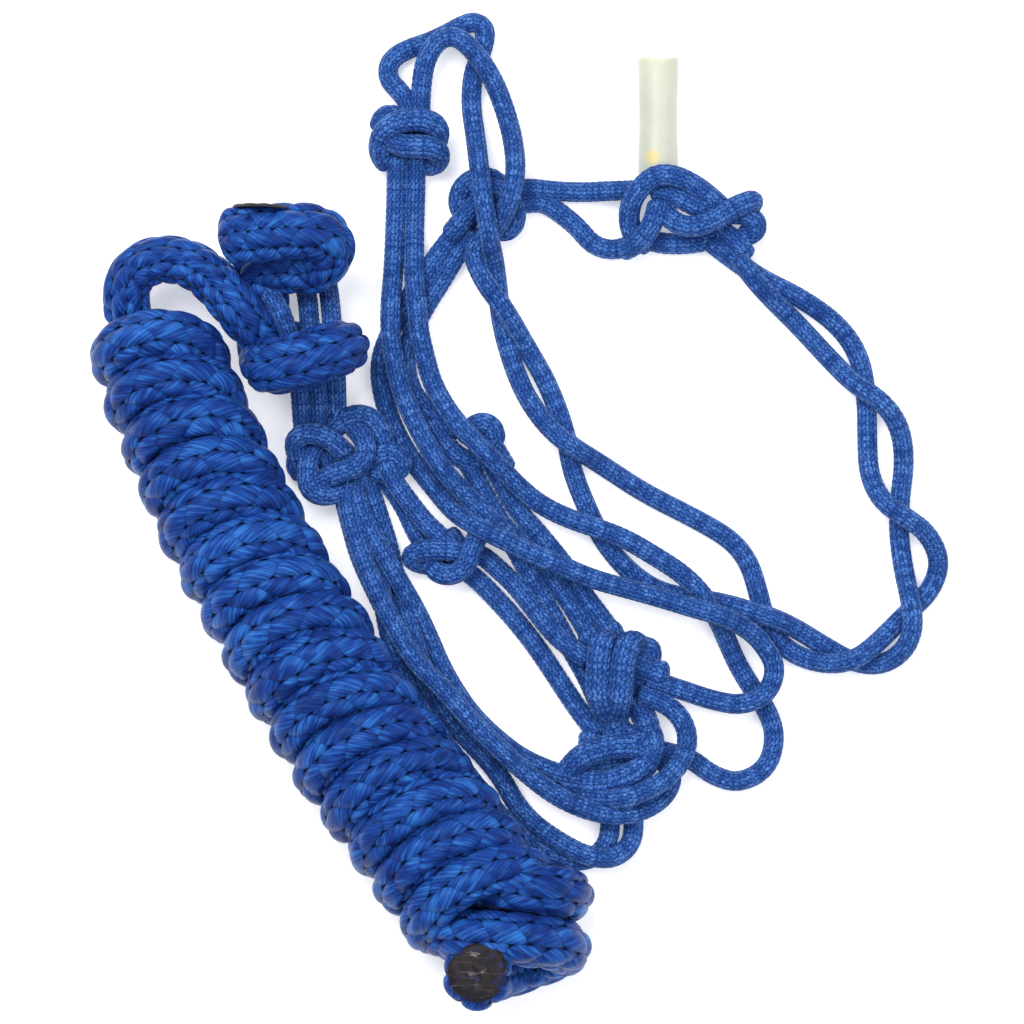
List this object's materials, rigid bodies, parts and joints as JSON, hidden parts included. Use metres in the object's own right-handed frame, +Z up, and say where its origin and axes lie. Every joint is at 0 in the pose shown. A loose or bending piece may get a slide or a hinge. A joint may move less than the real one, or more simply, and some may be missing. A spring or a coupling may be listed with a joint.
{
  "type": "rope halter",
  "caption": "Flat-laid knotted rope halter in thin braided cord, with a thicker braided lead rope hitched to its throat loop and wound into a hank.",
  "frame": {"origin": "on the surface the halter lies on, below the middle of its outline", "axes": "+Y towards the crown piece, +X towards the loose noseband loops, +Z up from the surface"},
  "size_m": [0.2745, 0.3168, 0.0457],
  "materials": {
    "halter_cord": "tight fine braid of royal blue polyester, slightly fuzzy, matt with a soft sheen",
    "lead_braid": "coarse solid braid of royal blue multifilament strands with a silky sheen",
    "sleeve_plastic": "milky translucent soft plastic tube with a softened rim",
    "melted_end": "melted and sealed rope fibre, dark and wrinkled, half glossy"
  },
  "bodies": {
    "halter": {"crown_cord_a": "halter_cord", "crown_cord_b": "halter_cord", "cheek_cord_a": "halter_cord", "cheek_cord_b": "halter_cord", "throat_cord_a": "halter_cord", "throat_cord_b": "halter_cord", "eye_cord_a": "halter_cord", "eye_cord_b": "halter_cord", "fiador_loop_outer": "halter_cord", "fiador_loop_inner": "halter_cord", "fiador_cord_a": "halter_cord", "fiador_cord_b": "halter_cord", "fiador_cord_c": "halter_cord", "fiador_cord_d": "halter_cord", "fiador_cord_e": "halter_cord", "nose_cord_a": "halter_cord", "nose_cord_b": "halter_cord", "nose_cord_c": "halter_cord", "nose_cord_d": "halter_cord", "chin_cord_a": "halter_cord", "chin_cord_b": "halter_cord", "link_cord_a": "halter_cord", "crown_knot": "halter_cord", "cheek_ring_knot": "halter_cord", "crown_tie_knot": "halter_cord", "throat_loop_knot": "halter_cord", "nose_knot_left": "halter_cord", "cheek_knot": "halter_cord", "nose_knot_right": "halter_cord", "chin_knot": "halter_cord", "crown_sleeve": "sleeve_plastic", "crown_tail_ends": "halter_cord", "lead_rope_run": "lead_braid", "lead_run_seal": "melted_end"},
    "hank": {"lead_hank": "lead_braid", "lead_end_loops": "lead_braid", "lead_end_stub": "lead_braid", "lead_end_seal": "melted_end"}
  },
  "joints": [
    {"name": "lead_hank_swing", "type": "hinge", "parent": "halter", "child": "hank", "pos_m": [-0.1235, 0.063, 0], "axis": [0, 0, -1], "range_deg": [0, 45]}
  ]
}
